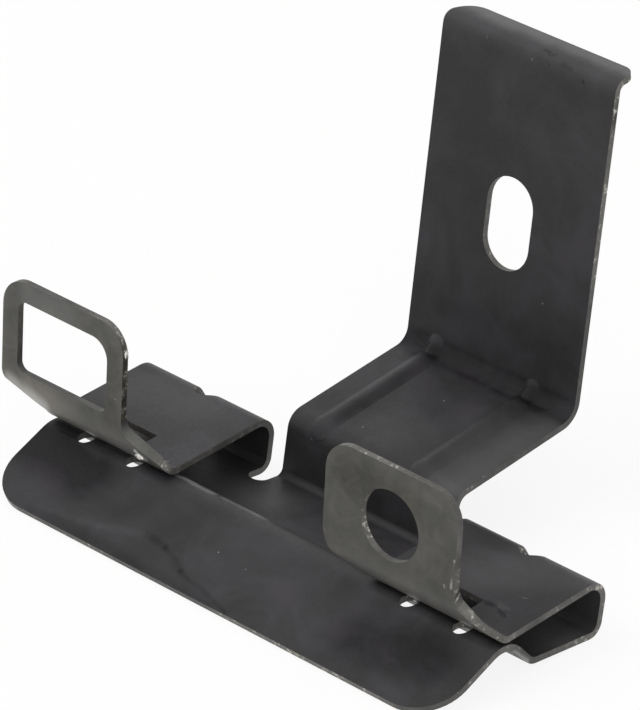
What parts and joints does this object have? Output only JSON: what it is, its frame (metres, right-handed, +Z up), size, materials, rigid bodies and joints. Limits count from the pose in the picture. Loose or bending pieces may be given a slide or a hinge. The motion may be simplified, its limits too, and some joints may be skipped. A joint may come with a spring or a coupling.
{
  "type": "door glass clip",
  "caption": "Folded thin sheet steel clip: sloping wing, open channel, two upright tabs and a tall slotted plate on a shelf, for holding door glass trim.",
  "frame": {"origin": "middle of the clip's outline in X and Y, on the floor it stands on", "axes": "+X along the base towards the tab with the round hole, +Y towards the tall plate, +Z up"},
  "size_m": [0.093, 0.067, 0.0628],
  "materials": {
    "coated_steel": "thin semi-matt black coat over steel"
  },
  "bodies": {
    "root": {"glass_clip": "coated_steel"}
  },
  "joints": []
}
